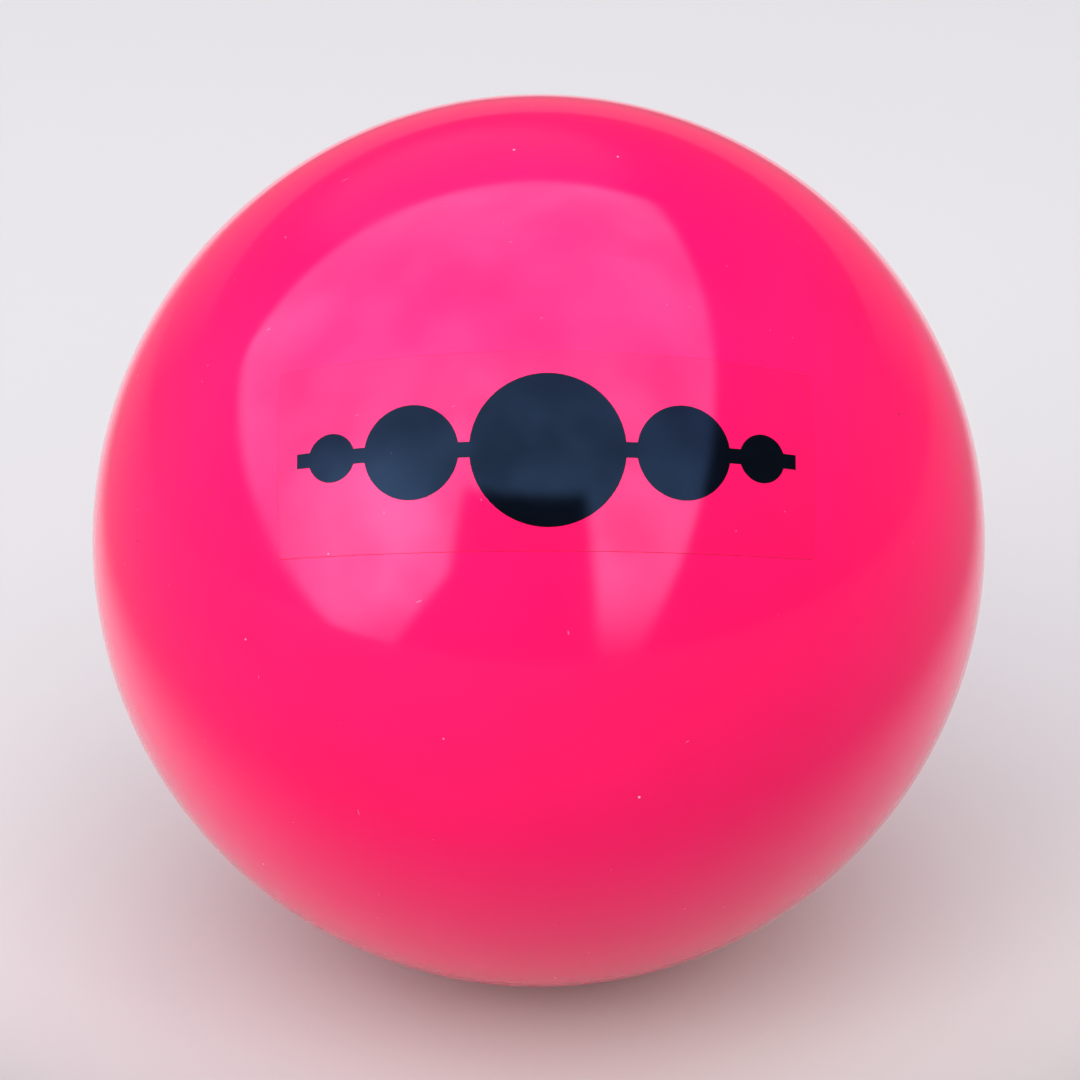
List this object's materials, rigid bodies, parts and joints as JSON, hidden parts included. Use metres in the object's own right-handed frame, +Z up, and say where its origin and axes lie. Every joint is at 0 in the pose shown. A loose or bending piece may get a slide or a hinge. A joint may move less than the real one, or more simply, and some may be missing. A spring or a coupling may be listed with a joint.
{
  "type": "indoor hockey ball",
  "caption": "Smooth glossy indoor hockey ball: a twine-wound cork centre inside a lapped plastic cover, with a printed transfer film on its front.",
  "frame": {"origin": "centre of the ball", "axes": "+Z up, away from the floor it lies on; -Y towards the front, where the print faces forwards and up; +X to the viewer's right"},
  "size_m": [0.073, 0.073, 0.073],
  "materials": {
    "cover": "polished hot-pink PVC",
    "film": "clear glossy transfer film, in the colour of the cover that shows through it",
    "ink": "glossy dark navy printing ink",
    "twine": "undyed twisted twine",
    "cork": "moulded granulated cork and rubber"
  },
  "bodies": {
    "root": {"cork_core": "cork", "twine_winding": "twine", "front_cover": "cover", "rear_cover": "cover", "print_film": "film", "print_ink": "ink"}
  },
  "joints": []
}
